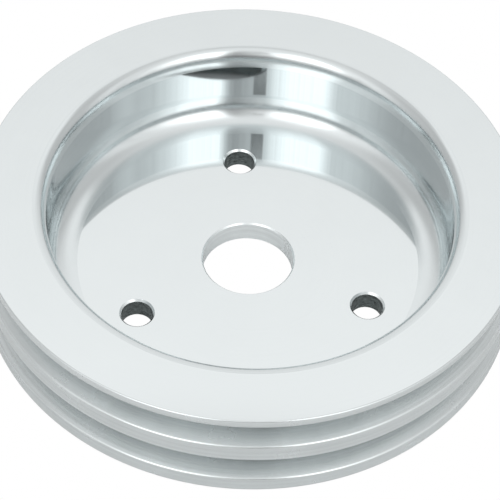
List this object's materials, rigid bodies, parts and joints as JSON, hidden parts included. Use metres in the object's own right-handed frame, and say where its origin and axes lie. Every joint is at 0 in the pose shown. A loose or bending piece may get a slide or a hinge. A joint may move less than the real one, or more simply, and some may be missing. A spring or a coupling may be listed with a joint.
{
  "type": "crank pulley",
  "caption": "Deep-dished V-belt crank pulley in polished aluminium, with a flat bolted web, a round pilot bore and belt grooves round its rim.",
  "frame": {"origin": "centre of the rear mounting face, on the axis of rotation", "axes": "+Z along the axis of rotation, from the rear mounting face out through the open dish; +Y through one bolt hole"},
  "size_m": [0.168, 0.168, 0.0356],
  "materials": {
    "polished_aluminium": "mirror polished face and dish, satin turned grooves"
  },
  "bodies": {
    "root": {"crank_pulley": "polished_aluminium"}
  },
  "joints": []
}
